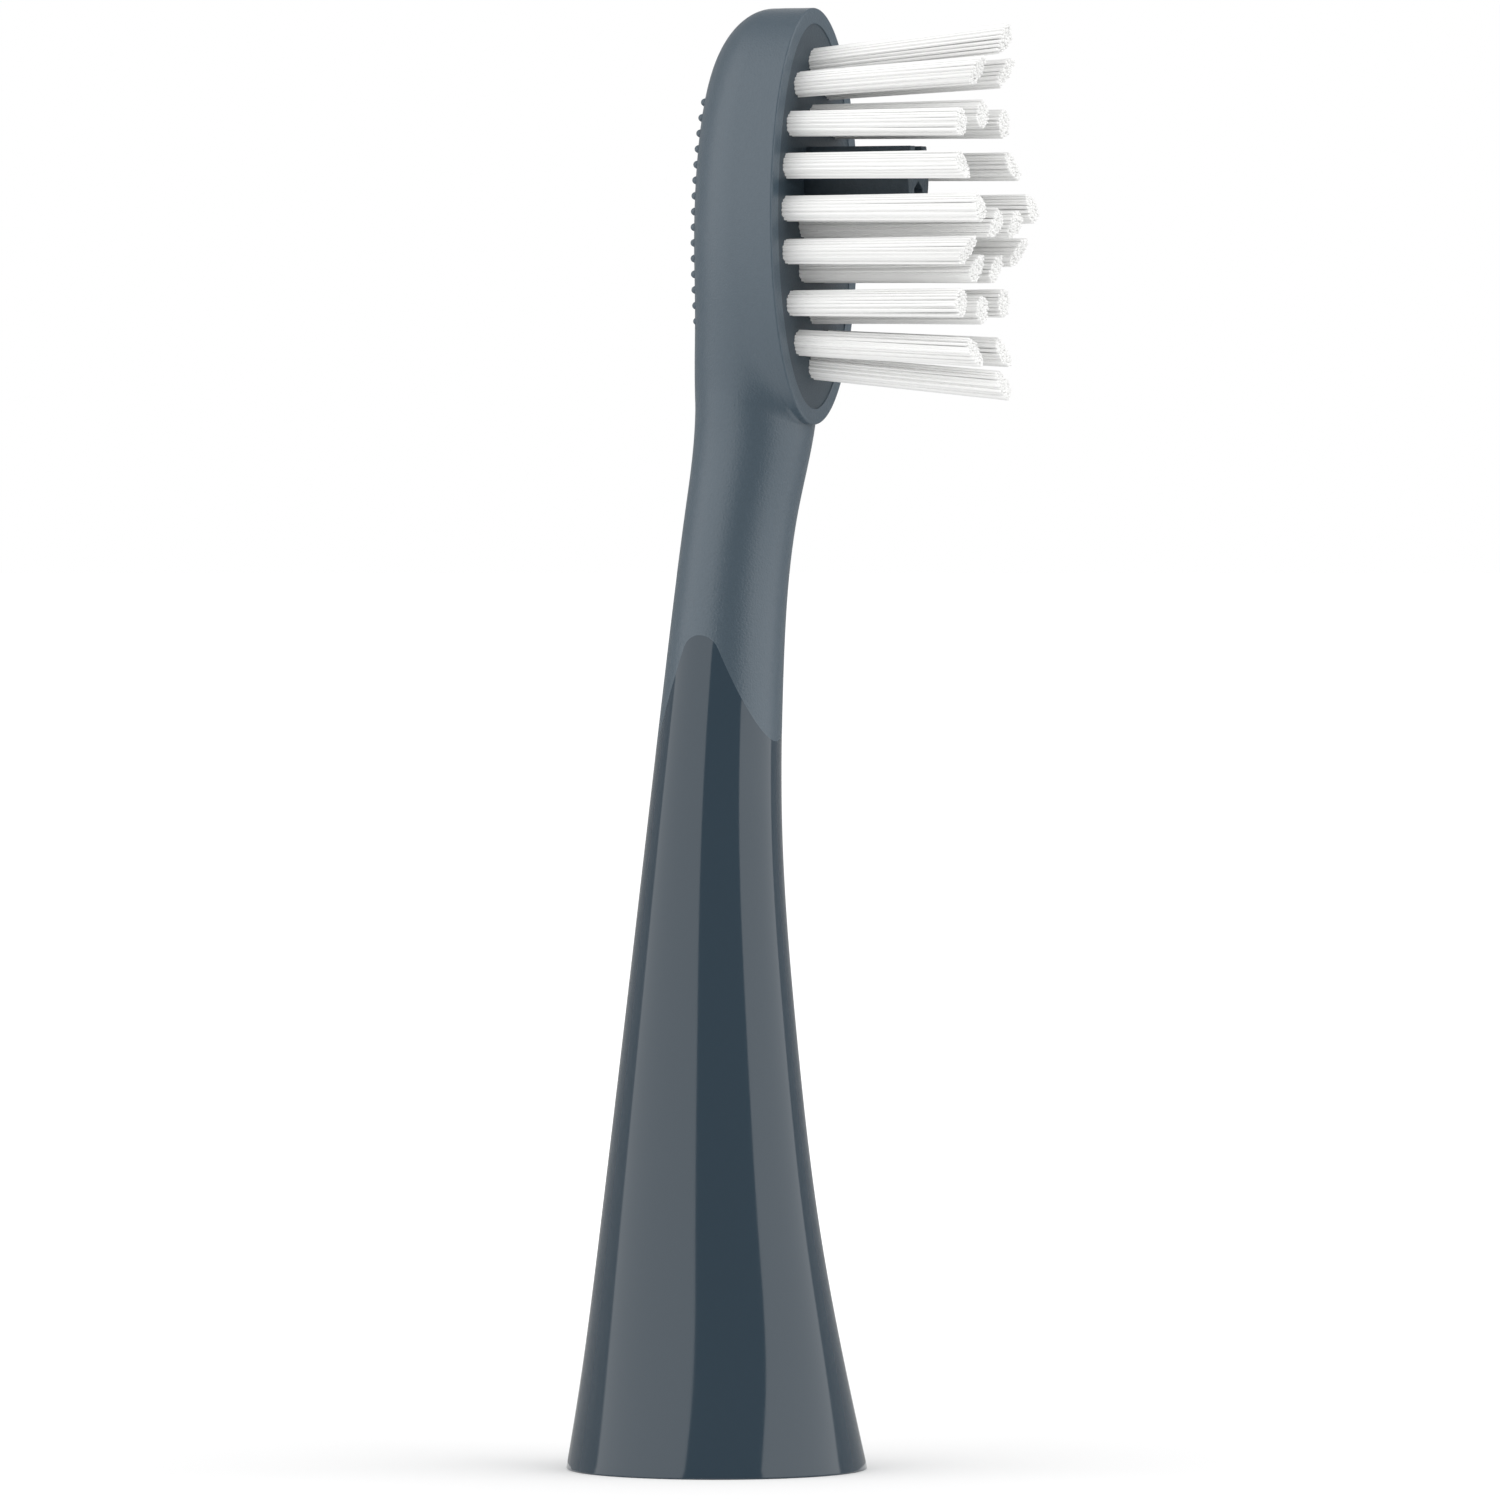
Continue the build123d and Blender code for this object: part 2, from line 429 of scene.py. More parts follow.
# Thermoplastic elastomer from an eroded mould: paler slate, broad soft light, a sandy grain.
SLEEVE = GrainedMoulding("grained_elastomer", "#3e4d58", 0.36, ior=1.6)
# The hard polypropylene where its mould is grained: darker than the rim round it, and matt.
PLATE = GrainedMoulding("grained_polypropylene", "#303c45", 0.45, pale="#36434c")
# Elastomer of the fins, painted darker than the sleeve's elastomer for the shade that falls on them
# between the tufts; dull all over.
SHADED_FIN = GrainedMoulding("fin_elastomer_painted_shade", "#2b3943", 0.5, pale="#2e3a42")
# Drawn nylon: white and satin, with a fine line of light along each filament and painted shade in
# the darker filaments between them.
NYLON = DrawnNylon("drawn_nylon", "#f3f3f2", 0.4, ior=1.53)
# Moulded acetal: dark grey with a waxy sheen.
SOCKET = GrainedMoulding("moulded_acetal", "#46494c", 0.4, pale="#4b4e51")
# Rolled spring steel: pale metal that mirrors with a blur.
SPRING = RolledStrip("spring_steel_strip", "#c6c8ca", 0.3, metallic=1.0)
# Rolled brass: warm metal that mirrors with a blur.
ANCHOR = RolledStrip("brass_strip", "#d9c08a", 0.35, metallic=1.0)
# Felt of the studio's flats: even dark and middle tones without any sheen.
BLACK_FELT = Finish("black_felt", "#303030", 1.0)
GREY_FELT = Finish("grey_felt", "#9e9e9e", 1.0)


def add_piece(
    name: str, surfaces: list[Surface], finish: Finish, nodes: tuple[str, ...] = ()
) -> bpy.types.Object:
    """Make one piece from its surfaces, weld their shared edges and let it ride on the frame.

    Args:
        name: Name of the piece.
        surfaces: Its surfaces, in millimetres.
        finish: Its finish.
        nodes: CAD nodes that it stands for.

    Returns:
        The new object.
    """
    starts = np.cumsum([0, *(len(s.points) for s in surfaces)])
    faces = [face for s, start in zip(surfaces, starts) for face in (s.faces + start).tolist()]
    mesh = bpy.data.meshes.new(name)
    mesh.from_pydata(np.concatenate([s.points for s in surfaces]) * MM, [], faces)
    shape = bmesh.new()
    shape.from_mesh(mesh)
    bmesh.ops.remove_doubles(shape, verts=shape.verts, dist=WELD_DISTANCE * MM)
    shape.to_mesh(mesh)
    shape.free()
    mesh.shade_smooth()
    mesh.set_sharp_from_angle(angle=np.radians(SHARP_DEGREES))
    mesh.materials.append(finish.material())
    piece = bpy.data.objects.new(name, mesh)
    bpy.context.scene.collection.objects.link(piece)
    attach(piece, "root")
    if nodes:
        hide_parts(*nodes)
    return piece


@dataclass(frozen=True)
class StemForm:
    """Sections of the stem by height: half width, half depth and the Y of each centre."""

    heights: tuple[float, ...] = (0, 4.2, 12.7, 23.3, 33.9, 42.4, 50.9, 55.1, 58.2, 63.0)
    half_widths: tuple[float, ...] = (8.0, 6.63, 5.06, 4.05, 3.39, 3.14, 3.0, 3.18, 3.6, 3.6)
    half_depths: tuple[float, ...] = (8.0, 7.33, 6.02, 4.71, 3.65, 3.14, 3.0, 3.18, 3.15, 2.45)
    centres: tuple[float, ...] = (0, 0.13, 0.40, 0.40, 0.13, -0.46, -1.49, -2.23, -2.42, -2.48)
    wave_apex: float = 46.14
    wave_slope: float = 2.5
    wave_radius: float = 1.09
    wave_centre: float = -0.5

    def section(self, z: Array) -> tuple[Array, Array, Array]:
        """Read the stem's sections by splines over height.

        Args:
            z: Heights of any shape.

        Returns:
            Half width, half depth and centre Y at each height.
        """
        knots = np.array(self.heights, float)
        rows = (self.half_widths, self.half_depths, self.centres)
        wide, deep, centre = (spline_through(knots, np.array(row, float), z) for row in rows)
        return wide, deep, centre

    def wave(self, y: Array) -> Array:
        """Height of the edge between the hard skirt and the soft sleeve.

        Two lines of one slope fall to both sides of the apex, and an arc rounds the apex.

        Args:
            y: Depths at which the edge is read.

        Returns:
            Heights of the edge.
        """
        away = np.abs(y - self.wave_centre)
        steep = np.arctan(self.wave_slope)
        top = self.wave_apex - self.wave_radius * (1 / np.cos(steep) - 1)
        drop = self.wave_radius - np.sqrt(np.clip(self.wave_radius**2 - away**2, 0, None))
        on_arc = away < self.wave_radius * np.sin(steep)
        return np.where(on_arc, top - drop, self.wave_apex - self.wave_slope * away)

    def wave_heights(self, turns: Array) -> Array:
        """Height at which each direction round the stem meets the wave.

        Args:
            turns: Angles from the front, in radians.

        Returns:
            One height for each angle, found by repeated substitution.
        """
        z = np.full(turns.shape, self.wave_apex)
        for _ in range(SUBSTITUTIONS):
            _, deep, centre = self.section(z)
            z = self.wave(centre - deep * np.cos(turns))
        return z


@dataclass(frozen=True)
class HeadForm:
    """Sizes of the oval head."""

    centre: float = 66.4
    half_width: float = 5.3
    half_length: float = 11.0
    face: float = -5.8
    wall_depth: float = 2.35
    back_depth: float = 3.5
    side_inset: float = 3.5
    top_inset: float = 5.3
    bottom_inset: float = 0.2
    edge: float = 0.1
    lip: float = 0.05
    rim_width: float = 0.85
    rim_step: float = 0.06

    def width_at(self, y: Array, z: Array) -> Array:
        """Half width of the head at a depth and a height, or -1 where it isn't there.

        Behind the straight wall the outline is an oval whose half axes shrink by the share
        1 - sqrt(1 - t squared) of their insets, where t runs from 0 at the wall to 1 at the back.

        Args:
            y: Depths.
            z: Heights.

        Returns:
            Half widths.
        """
        t = (y - self.face - self.wall_depth) / self.back_depth
        closing = 1 - np.sqrt(1 - np.clip(t, 0, 1) ** 2)
        high = self.centre + self.half_length - self.top_inset * closing
        low = self.centre - self.half_length + self.bottom_inset * closing
        reach = (2 * z - high - low) / (high - low)
        widest = self.half_width - self.side_inset * closing
        wide = widest * np.sqrt(np.clip(1 - reach**2, 0, None))
        return np.where((t > 1) | (np.abs(reach) > 1), -1.0, wide)


@dataclass(frozen=True)
class SocketForm:
    """Sizes of the hollow under the skirt."""

    rim_edge: float = 0.1
    mouth_radius: float = 6.7
    mouth_edge: float = 0.08
    seat_radius: float = 5.35
    seat_height: float = 6.2
    bore_radius: float = 4.12


@dataclass
class BrushBody:
    """The hard skirt, the soft sleeve over neck and head, and the bristle plate."""

    stem: StemForm = field(default_factory=StemForm)
    head: HeadForm = field(default_factory=HeadForm)
    socket: SocketForm = field(default_factory=SocketForm)
    columns: int = 97
    front_crowding: float = 1.5
    hollow_rows: int = 12
    skirt_rows: int = 110
    neck_rows: int = 70
    head_rows: int = 181
    plate_rows: int = 12
    plate_columns: int = 129
    blend_radius: float = 0.9
    blend_share: float = 0.12
    blend_top: float = 66.0
    ray_depth: float = -4.2
    ray_scale: float = 2.8
    ray_reach: float = 4.0
    thin_slice: float = 1e-3

    def __post_init__(self) -> None:
        """Lay the columns round the stem, by the left to the back and on by the right.

        A column's share of the half turn is a power of its number, so they crowd at the front.
        """
        share = np.linspace(0, 1, self.columns) ** self.front_crowding
        self.shares = np.concatenate([share, share[-2::-1]])
        self.sides = np.repeat(
            [Side.LEFT.value, Side.RIGHT.value], [self.columns, self.columns - 1]
        ).astype(float)

    def skirt(self) -> bpy.types.Object:
        """Build the glossy skirt: the hollow, the standing rim and the outside up to the wave.

        Each row is an ellipse. The hollow's rows follow a turned profile, the rim's rows follow
        a quarter round, and the outer rows share out the way from the rim to the wave.

        Returns:
            The skirt.
        """
        s = self.socket
        turns = np.pi * self.shares
        outwards, upwards = quarter_round(s.mouth_edge)
        hollow_radius = np.concatenate(
            [
                [s.bore_radius, s.seat_radius],
                np.linspace(s.seat_radius, s.mouth_radius, self.hollow_rows)[1:-1],
                s.mouth_radius + outwards,
            ]
        )
        hollow_height = np.concatenate(
            [
                [s.seat_height, s.seat_height],
                np.linspace(s.seat_height, s.mouth_edge, self.hollow_rows)[1:-1],
                upwards,
            ]
        )
        around = np.stack([self.sides * np.sin(turns), -np.cos(turns)], axis=-1)
        hollow = np.empty((len(hollow_radius), len(turns), 3))
        hollow[..., :2] = hollow_radius[:, None, None] * around
        hollow[..., 2] = hollow_height[:, None]
        share = np.linspace(0, 1, self.skirt_rows)[:, None]
        edge = s.rim_edge
        upwards, inwards = quarter_round(edge)
        height = np.concatenate(
            [
                np.tile(upwards[:, None], len(turns)),
                (edge + share * (self.stem.wave_heights(turns) - edge))[1:],
            ]
        )
        inset = np.zeros_like(height)
        inset[: len(inwards)] = inwards[:, None]
        wide, deep, centre = self.stem.section(height)
        outside = np.stack(
            [
                self.sides * (wide - inset) * np.sin(turns),
                centre - (deep - inset) * np.cos(turns),
                height,
            ],
            axis=-1,
        )
        skin = Surface.grid(np.concatenate([hollow, outside]))
        return add_piece("gloss_skirt", [skin], SHELL, ("brush_body",))

    def head_reach(self, across: Array, along: Array, z: Array) -> Array:
        """How far rays from the sleeve's middle run before they leave the head.

        Args:
            across: X of each ray's direction.
            along: Y of each ray's direction.
            z: Height of each ray.

        Returns:
            Multiples of the direction, found by halving.
        """

        def inside(reach: Array) -> Array:
            """Tell whether the rays' ends are still in the head."""
            width = self.head.width_at(self.ray_depth + reach * along, z)
            return reach * np.abs(across) <= width

        low = np.zeros(np.broadcast(across, along, z).shape)
        return last_inside(inside, low, np.full_like(low, self.ray_reach))

    def sleeve_points(self) -> Array:
        """Points of the sleeve from the wave to the head's top.

        Rows are level slices. In each slice rays fan out from a middle point, and a point lies
        where its ray leaves the neck's ellipse or the head's outline, whichever is further. Where
        the two are about equal, a parabola rounds the corner between them. In the head the fan
        starts and ends at the rim's edge. At the top the slice is a line along the straight wall.

        Returns:
            Points as (rows, columns, 3).
        """
        head = self.head
        foot = head.centre - head.half_length
        start = self.stem.wave_heights(np.pi * self.shares)
        neck_z = start + np.linspace(0, 1, self.neck_rows)[:, None] * (foot - start)
        tilt = np.radians(np.linspace(-90, 90, self.head_rows))[:, None]
        head_z = head.centre + head.half_length * np.sin(tilt) + 0 * start
        z = np.concatenate([neck_z, head_z])
        in_head = np.concatenate([np.zeros_like(neck_z), np.ones_like(head_z)])
        head_x = head.half_width * np.cos(tilt) + 0 * start
        edge_x = np.concatenate([np.zeros_like(neck_z), head_x])
        wide, deep, centre = self.stem.section(np.minimum(z, self.blend_top))
        turn_in = smooth_step(z, self.stem.wave_apex, foot)
        middle = centre + turn_in * (self.ray_depth - centre)
        ray_x = np.maximum(np.where(z < self.blend_top, wide, self.thin_slice), edge_x)
        ray_y = deep + turn_in * (self.ray_scale - deep)
        edge_y = (self.ray_depth - head.face - head.edge) / self.ray_scale
        first = np.where(in_head > 0, np.arctan2(edge_x / ray_x, edge_y), 0)
        turns = first + (np.pi - first) * self.shares
        across = ray_x * np.sin(turns)
        along = -ray_y * np.cos(turns)
        square = (across / wide) ** 2 + (along / deep) ** 2
        mixed = 2 * (middle - centre) * along / deep**2
        short = ((middle - centre) / deep) ** 2 - 1
        neck = (-mixed + np.sqrt(np.clip(mixed**2 - 4 * square * short, 0, None))) / (2 * square)
        neck = np.where(z < self.blend_top, neck, 0)
        outline = np.where(in_head > 0, self.head_reach(across, along, z), 0)
        length = np.hypot(across, along)
        rounding = smooth_step(self.shares, 0, self.blend_share)
        radius = self.blend_radius * in_head * rounding + TINY
        near = np.clip(1 - np.abs(neck - outline) * length / radius, 0, 1)
        corner = near**2 * radius / 4 / np.maximum(length, TINY)
        reach = np.maximum(neck, outline) + corner
        points = np.stack([self.sides * reach * across, middle + reach * along, z], axis=-1)
        rim = head.face + head.edge
        points[-1, :, 1] = rim + self.shares * (head.wall_depth - head.edge)
        points[self.neck_rows, [0, -1], 1] = rim
        return points

    def rim_points(self) -> Array:
        """Points of the rim round the bristle plate.

        A profile of an outer quarter round, a flat and an inner lip is carried round the oval.
        Its inset shortens both half axes of the oval.

        Returns:
            Points as (profile, columns, 3).
        """
        head = self.head
        edge_inset, edge_depth = quarter_round(head.edge)
        lip_depth, lip_inset = quarter_round(head.lip)
        inset = np.concatenate([edge_inset, head.rim_width - lip_inset, [head.rim_width]])
        depth = head.face + np.concatenate([edge_depth, lip_depth, [2 * head.rim_step]])
        half_turn = np.radians(np.linspace(90, -90, self.head_rows))
        around = np.concatenate([half_turn, -np.pi - half_turn[-2::-1]])
        x = (head.half_width - inset[:, None]) * np.cos(around)
        z = head.centre + (head.half_length - inset[:, None]) * np.sin(around)
        return np.stack([x, depth[:, None] + 0 * x, z], axis=-1)

    def sleeve(self) -> bpy.types.Object:
        """Build the soft sleeve with its rim.

        Returns:
            The sleeve.
        """
        skins = [Surface.grid(self.sleeve_points()), Surface.grid(self.rim_points())]
        return add_piece("soft_sleeve_skin", skins, SLEEVE, ("soft_sleeve",))

    def plate(self) -> bpy.types.Object:
        """Build the bristle plate: rings of an oval that shrinks to its centre line.

        Returns:
            The plate.
        """
        head = self.head
        around = np.linspace(0, -2 * np.pi, self.plate_columns)
        size = np.linspace(1, 0, self.plate_rows)[:, None]
        x = size * (head.half_width - head.rim_width) * np.cos(around)
        z = head.centre + size * (head.half_length - head.rim_width) * np.sin(around)
        disc = np.stack([x, np.full_like(x, head.face + head.rim_step), z], axis=-1)
        return add_piece("bristle_plate", [Surface.grid(disc)], PLATE, ("brush_body",))

    def back_at(self, x: Array, z: Array) -> Array:
        """Depth of the sleeve's back, where a line along Y leaves the head or the neck.

        Args:
            x: Places across.
            z: Heights.

        Returns:
            The larger Y of the two.
        """
        head = self.head

        def inside(y: Array) -> Array:
            """Tell whether the places at these depths are still in the head."""
            return np.abs(x) <= head.width_at(y, z)

        low = np.full(np.broadcast(x, z).shape, head.face + head.wall_depth)
        high = np.full_like(low, head.face + head.wall_depth + head.back_depth)
        back = last_inside(inside, low, high)
        wide, deep, centre = self.stem.section(np.minimum(z, self.blend_top))
        neck = centre + deep * np.sqrt(np.clip(1 - (x / wide) ** 2, 0, None))
        return np.maximum(back, np.where(z < self.blend_top, neck, back))


@dataclass
class NubField:
    """Small domes in level rows on the back of the head."""

    body: BrushBody
    radius: float = 0.23
    height: float = 0.19
    sink: float = 0.06
    pitch: float = 0.826
    rows: int = 15
    lift: float = 0.24
    edge_degrees: float = 26.0
    samples: int = 531
    slope_step: float = 0.02
    dome_rows: int = 5
    dome_columns: int = 11

    def places(self) -> tuple[Array, Array]:
        """Spread the nubs evenly along each row, out to where the back has turned by an angle.

        Returns:
            X and Z of every nub.
        """
        from_middle = self.pitch * (np.arange(self.rows) - (self.rows - 1) / 2)
        level = self.body.head.centre + self.lift + from_middle
        across = np.linspace(0, self.body.head.half_width, self.samples)
        turn = np.radians(self.edge_degrees)
        outward = np.sin(turn) * across + np.cos(turn) * self.body.back_at(across, level[:, None])
        reach = across[np.argmax(outward, axis=1)]
        counts = np.round(2 * reach / self.pitch).astype(int) + 1
        x = np.concatenate([np.linspace(-r, r, n) for r, n in zip(reach, counts)])
        return x, np.repeat(level, counts)

    def build(self) -> bpy.types.Object:
        """Set a dome on each place, along the back's normal.

        A dome is a circle that narrows as a cosine while it rises as a sine.

        Returns:
            All the nubs as one piece.
        """
        x, z = self.places()
        back = self.body.back_at
        step = self.slope_step
        foot = np.stack([x, back(x, z), z], axis=-1)
        slope_x = (back(x + step, z) - back(x - step, z)) / (2 * step)
        slope_z = (back(x, z + step) - back(x, z - step)) / (2 * step)
        out = np.stack([-slope_x, np.ones_like(x), -slope_z], axis=-1)
        out /= np.linalg.norm(out, axis=-1, keepdims=True)
        aside = np.stack([np.ones_like(x), slope_x, np.zeros_like(x)], axis=-1)
        aside /= np.linalg.norm(aside, axis=-1, keepdims=True)
        up = np.cross(aside, out)
        rise = np.radians(np.linspace(0, 90, self.dome_rows))[:, None, None]
        turn = np.linspace(0, 2 * np.pi, self.dome_columns)[:, None]
        aside, up, out, foot = (v[:, None, None, :] for v in (aside, up, out, foot))
        circle = self.radius * np.cos(rise) * (np.cos(turn) * aside + np.sin(turn) * up)
        domes = foot + circle + ((self.height + self.sink) * np.sin(rise) - self.sink) * out
        return add_piece("back_nubs", [Surface.grid(domes)], SLEEVE)


@dataclass
class Tufts:
    """Bundles of nylon filaments, trimmed to crests and dips."""

    head: HeadForm
    ring_half_width: float = 3.3
    ring_half_length: float = 8.05
    ring_side_count: int = 8
    ring_low_count: int = 3
    ring_wide_gap: float = 0.5
    ring_samples: int = 4001
    lift: float = 0.1
    inner_end: float = 5.1
    inner_pair_x: float = 1.2
    inner_upper_z: float = -0.5
    inner_lower_z: float = -2.85
    root_radius: float = 0.72
    tip_radius: float = 0.8
    filament_radius: float = 0.089
    filaments: int = 84
    filament_columns: int = 7
    tip_starts: tuple[float, ...] = (1.0, 0.4, 0.0)
    tip_widths: tuple[float, ...] = (1.0, 0.78, 0.25)
    low_length: float = 9.78
    crest_rise: float = 1.45
    crest_pitch: float = 9.6
    crest_power: int = 4
    fan_start: float = 5.0
    fan_degrees_per_mm: float = 1.8
    sunk: float = 0.6
    trim_spread: float = 0.05
    stray: float = 0.025
    seed: int = 7

    def places(self) -> dict[str, tuple[float, float]]:
        """Name each tuft's node and its place on the plate.

        Up each side of an oval the ring's gaps are even, but for a wider one above the low tufts.

        Returns:
            X and height above the head's centre by node.
        """
        half_axes = np.array([[self.ring_half_width], [self.ring_half_length]])
        turn = np.linspace(-np.pi / 2, np.pi / 2, self.ring_samples)
        oval = half_axes * np.stack([np.cos(turn), np.sin(turn)])
        way = np.concatenate([[0], np.cumsum(np.hypot(*np.diff(oval)))])
        k = np.arange(self.ring_side_count + 1)
        step = (way[-1] - self.ring_wide_gap) / self.ring_side_count
        stops = np.interp(k * step + self.ring_wide_gap * (k >= self.ring_low_count), way, turn)
        across, above = half_axes * np.stack([np.cos(stops), np.sin(stops)])
        right = list(zip(across, above + self.lift))
        ring = right + [(-x, z) for x, z in right[-2:0:-1]]
        named = {f"tuft_ring_{i + 1:02d}": place for i, place in enumerate(ring)}
        for side in Side:
            word, x = side.name.lower(), side.value * self.inner_pair_x
            named[f"tuft_inner_upper_{word}"] = (x, self.inner_upper_z)
            named[f"tuft_inner_lower_{word}"] = (x, self.inner_lower_z)
        named["tuft_inner_top"] = (0.0, self.lift + self.inner_end)
        named["tuft_inner_bottom"] = (0.0, self.lift - self.inner_end)
        return named

    def tuft(self, node: str, x: float, z: float, chance: np.random.Generator) -> bpy.types.Object:
        """Build one tuft.

        Roots fill a disc as a sunflower's seeds do: root k of n lies k golden angles round, at
        the share sqrt((k + 1/2) / n) of the radius. Each filament runs straight to the same
        place in the wider disc of the tips, give or take a stray, and ends in a rounded tip at
        the trim, whose length is the low length plus the rise times the fourth power of a
        cosine: narrow crests over wide dips.

        Args:
            node: CAD node that the tuft stands for.
            x: Place across the plate.
            z: Height above the head's centre.
            chance: Source of the small differences.

        Returns:
            The tuft.
        """
        count = self.filaments
        k = np.arange(count)
        spread = np.sqrt((k + 0.5) / count)
        golden = k * np.pi * (3 - np.sqrt(5)) + chance.uniform(0, 2 * np.pi)
        disc = np.stack([spread * np.cos(golden), spread * np.sin(golden)], axis=-1)
        root = disc * (self.root_radius - self.filament_radius)
        tip = disc * (self.tip_radius - self.filament_radius)
        tip += chance.normal(0, self.stray, (count, 2))
        beyond = max(0.0, abs(z) - self.fan_start)
        lean = np.radians(self.fan_degrees_per_mm) * np.sign(z) * beyond
        out = np.array([0, -np.cos(lean), np.sin(lean)])
        up = np.array([0, np.sin(lean), np.cos(lean)])
        aside = np.array([1.0, 0, 0])
        plate = self.head.face + self.head.rim_step
        base = np.array([x, plate, self.head.centre + z])
        tip_z = z + tip[:, 1] + np.sin(lean) * self.low_length
        crest = np.cos(np.pi * tip_z / self.crest_pitch) ** self.crest_power
        trimmed = self.low_length + self.crest_rise * crest
        length = (self.head.rim_step + trimmed) / np.cos(lean) + tip[:, 1] * np.tan(lean)
        length += chance.uniform(-self.trim_spread, self.trim_spread, count)
        r = self.filament_radius
        to_tip = [length - start * r for start in self.tip_starts]
        along = np.stack([np.full(count, -self.sunk), 0.5 * length, *to_tip], axis=1)
        thick = r * np.array([1, 1, *self.tip_widths])
        share = np.clip(along / length[:, None], 0, 1)[..., None]
        line = (root[:, None] * (1 - share) + tip[:, None] * share)[:, :, None, :]
        turn = np.linspace(0, -2 * np.pi, self.filament_columns)
        ring = np.stack([np.cos(turn), np.sin(turn)], axis=-1)
        flat = line + thick[None, :, None, None] * ring
        points = base + flat[..., :1] * aside + flat[..., 1:] * up + along[:, :, None, None] * out
        poles = np.repeat(points[:, -1:].mean(axis=2), len(turn), axis=1)
        caps = np.stack([points[:, -1], poles], axis=1)
        skins = [Surface.grid(points), Surface.grid(caps)]
        name = node.replace("tuft", "filaments")
        piece = add_piece(name, skins, NYLON, (node,))
        # A random share of the darker white for each filament: random tone that also paints the
        # shade lines between filaments.
        shade = chance.uniform(0, 1, count)
        tint = np.concatenate([np.repeat(shade, len(skin.faces) // count) for skin in skins])
        piece.data.attributes.new("tint", "FLOAT", "FACE").data.foreach_set("value", tint)
        return piece

    def build(self) -> list[bpy.types.Object]:
        """Build every tuft with one seeded source of differences.

        Returns:
            The tufts.
        """
        chance = np.random.default_rng(self.seed)
        return [self.tuft(node, x, z, chance) for node, (x, z) in self.places().items()]


@dataclass
class PolishingFins:
    """Two bowed rubber walls, joined in the middle, with a hollow between their ends."""

    head: HeadForm
    lift: float = 2.05
    half_length: float = 1.6
    middle: float = 1.27
    end: float = 0.97
    hollow_apex: float = 0.28
    hollow_shoulder: float = 0.65
    hollow_width: float = 0.5
    hollow_end: float = 0.42
    height: float = 6.1
    sunk: float = 0.6
    edge: float = 0.08
    edge_points: int = 4
    side_points: int = 15

    def outline(self, inset: Array) -> Array:
        """Points round the section, moved inwards.

        A side bows out as a parabola, the hollow at each end has five corners, and half a turn
        about the centre makes the other side and the other hollow.

        Args:
            inset: How far each copy of the outline moves inwards.

        Returns:
            Points as (insets, columns, 2), clockwise as seen from the front.
        """
        along = np.linspace(-1, 1, self.side_points)
        bow = self.middle + (self.end - self.middle) * along**2
        side = np.stack([bow, self.half_length * along], axis=-1)
        hollow = np.array(
            [
                [self.hollow_end, self.half_length],
                [self.hollow_width, self.hollow_shoulder],
                [0, self.hollow_apex],
                [-self.hollow_width, self.hollow_shoulder],
                [-self.hollow_end, self.half_length],
            ]
        )
        half = np.concatenate([side, hollow])
        loop = np.concatenate([half, -half])[::-1]
        ahead = np.roll(loop, -1, axis=0) - np.roll(loop, 1, axis=0)
        inwards = np.stack([ahead[:, 1], -ahead[:, 0]], axis=-1)
        inwards /= np.linalg.norm(inwards, axis=-1, keepdims=True)
        return loop + inset[:, None, None] * inwards

    def build(self) -> bpy.types.Object:
        """Carry the outline from the plate to a rounded tip, which one face closes.

        Returns:
            The fins.
        """
        inwards, below = quarter_round(self.edge, self.edge_points)
        height = np.concatenate([[-self.sunk], self.height - below])[:, None]
        ring = self.outline(np.concatenate([[0], inwards]))
        x, up = ring[..., 0], ring[..., 1]
        y = self.head.face + self.head.rim_step - height + 0 * x
        points = np.stack([x, y, self.head.centre + self.lift + up], axis=-1)
        walls = Surface.grid(np.concatenate([points, points[:, :1]], axis=1))
        tip = Surface(points[-1], np.arange(ring.shape[1])[None, ::-1])
        # The fins' darker colour is painted shade from the tufts round them.
        return add_piece("polishing_fin_walls", [walls, tip], SHADED_FIN, ("polishing_fins",))


@dataclass(frozen=True)
class CarriedNode:
    """A CAD node that is shown as it is, in a better finish."""

    node: str
    finish: Finish

    def dress(self) -> bpy.types.Object:
        """Put the finish on the node.

        Returns:
            The node's object.
        """
        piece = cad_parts[self.node]
        piece.data.materials.clear()
        piece.data.materials.append(self.finish.material())
        return piece


@dataclass(frozen=True)
class Softbox:
    """A flat lamp that stands beside the camera, placed by the angles of its two edges."""

    name: str
    near_degrees: float
    far_degrees: float
    radiance: float
    distance: float = 500.0
    height: float = 900.0
    middle: float = 452.0


